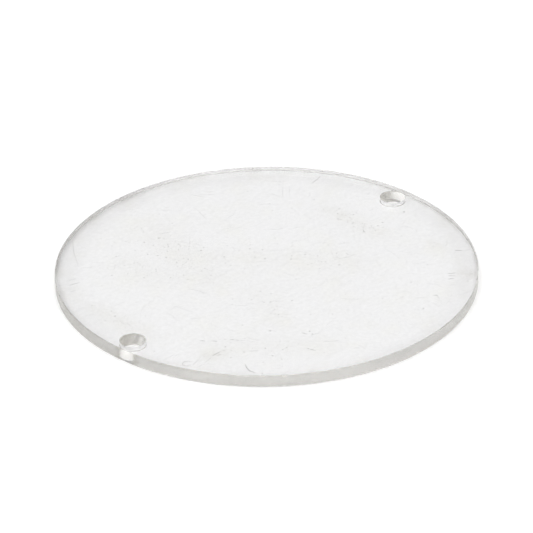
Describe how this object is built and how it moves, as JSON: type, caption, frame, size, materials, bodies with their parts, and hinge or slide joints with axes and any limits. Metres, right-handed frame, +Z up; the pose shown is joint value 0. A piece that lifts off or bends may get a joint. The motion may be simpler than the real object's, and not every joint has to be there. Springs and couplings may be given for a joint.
{
  "type": "circle template",
  "caption": "Thin flat disc of clear plastic with a true round edge to draw around, and small through holes near the rim, at the ends of a diameter, that pin it down.",
  "frame": {"origin": "centre of the underside, on the surface that the disc lies on", "axes": "+Z up through the thickness, +X through the centres of both pin holes"},
  "size_m": [0.1, 0.1, 0.003],
  "materials": {
    "clear_acrylic": "gloss clear sheet, dulled by fine scuffs and hairline scratches, with a polished cut edge"
  },
  "bodies": {
    "root": {"template_disc": "clear_acrylic"}
  },
  "joints": []
}
